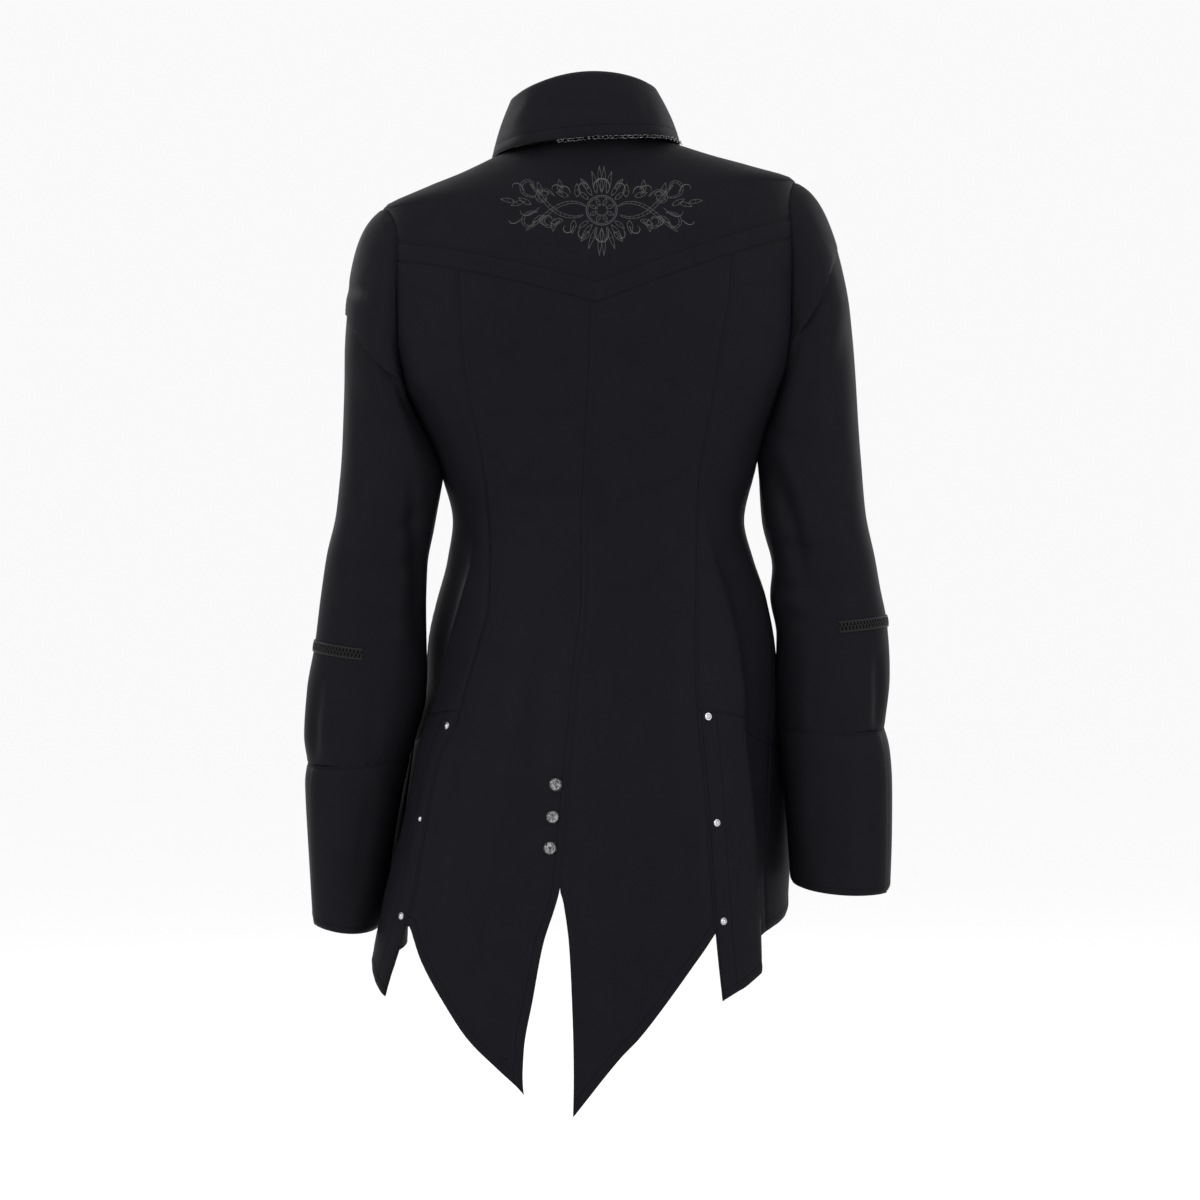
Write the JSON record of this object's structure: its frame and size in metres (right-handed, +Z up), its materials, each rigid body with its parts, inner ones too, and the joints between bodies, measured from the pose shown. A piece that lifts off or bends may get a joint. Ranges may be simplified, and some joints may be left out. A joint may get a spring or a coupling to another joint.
{
  "type": "blouse",
  "caption": "Fitted long-sleeved blouse as worn, with a fold-over collar, deep slit cuffs, panelled back with a vent and pointed tails; hollow and open at neck, cuffs and hem.",
  "frame": {"origin": "between the shoulder seams at the base of the neck, where the wearer's shoulders carry the garment", "axes": "+Z up, +X towards the wearer's left, the front faces -Y"},
  "size_m": [0.5523, 0.2808, 0.9549],
  "materials": {
    "black_cloth": "smooth stretch satin with a faint sheen",
    "black_trim": "matt woven braid",
    "aged_metal": "aged, darkened in its hollows",
    "polished_metal": "polished"
  },
  "bodies": {
    "root": {"yoke_back": "black_cloth", "yoke_band": "black_cloth", "back_left": "black_cloth", "back_right": "black_cloth", "side_back_left": "black_cloth", "side_back_right": "black_cloth", "lower_side_left": "black_cloth", "lower_side_right": "black_cloth", "front_left": "black_cloth", "front_right": "black_cloth", "lower_front_left": "black_cloth", "lower_front_right": "black_cloth", "front_placket": "black_cloth", "collar_stand": "black_cloth", "collar_fall": "black_cloth", "sleeve_left": "black_cloth", "sleeve_right": "black_cloth", "cuff_left": "black_cloth", "cuff_right": "black_cloth", "trim_left": "black_trim", "trim_right": "black_trim", "front_button_1": "aged_metal", "front_button_2": "aged_metal", "front_button_3": "aged_metal", "front_button_4": "aged_metal", "front_button_5": "aged_metal", "front_button_6": "aged_metal", "front_button_7": "aged_metal", "front_button_8": "aged_metal", "vent_button_1": "aged_metal", "vent_button_2": "aged_metal", "vent_button_3": "aged_metal", "collar_chain": "aged_metal", "stud_left_1": "polished_metal", "stud_left_2": "polished_metal", "stud_left_3": "polished_metal", "stud_right_1": "polished_metal", "stud_right_2": "polished_metal", "stud_right_3": "polished_metal"}
  },
  "joints": []
}
